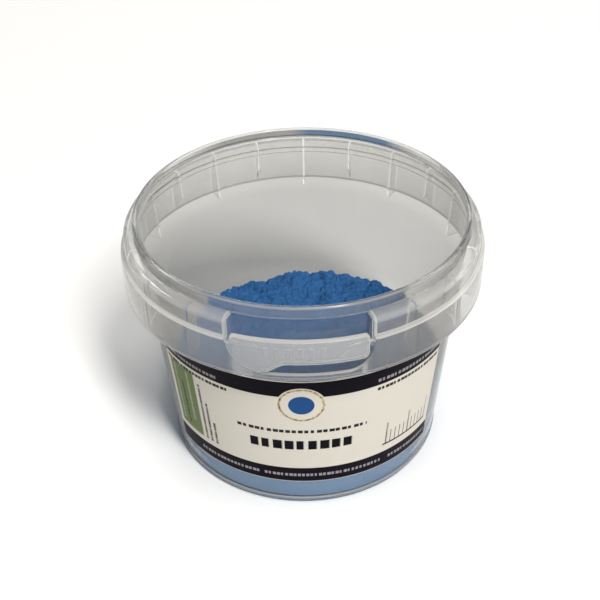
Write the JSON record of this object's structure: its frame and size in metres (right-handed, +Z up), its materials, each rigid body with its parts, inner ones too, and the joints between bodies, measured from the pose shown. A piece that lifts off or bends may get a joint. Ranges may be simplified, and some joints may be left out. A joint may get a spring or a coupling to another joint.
{
  "type": "tub of azurite pigment",
  "caption": "Open translucent plastic tub with a tear-off tab and a blank printed label, part filled with lumpy blue azurite pigment powder.",
  "frame": {"origin": "on the tub's axis, at the level that its foot stands on", "axes": "+Z up along the tub's axis, -Y towards the tear-off tab and the label, +X to the right as seen from the front"},
  "size_m": [0.0748, 0.0753, 0.0556],
  "materials": {
    "tub_plastic": "translucent natural polypropylene, moulded, satin gloss",
    "label_paper": "cream coated paper printed with dark bands",
    "azurite_powder": "matt, ground mineral powder in soft clods"
  },
  "bodies": {
    "root": {"tub": "tub_plastic", "label": "label_paper", "pigment": "azurite_powder"}
  },
  "joints": []
}
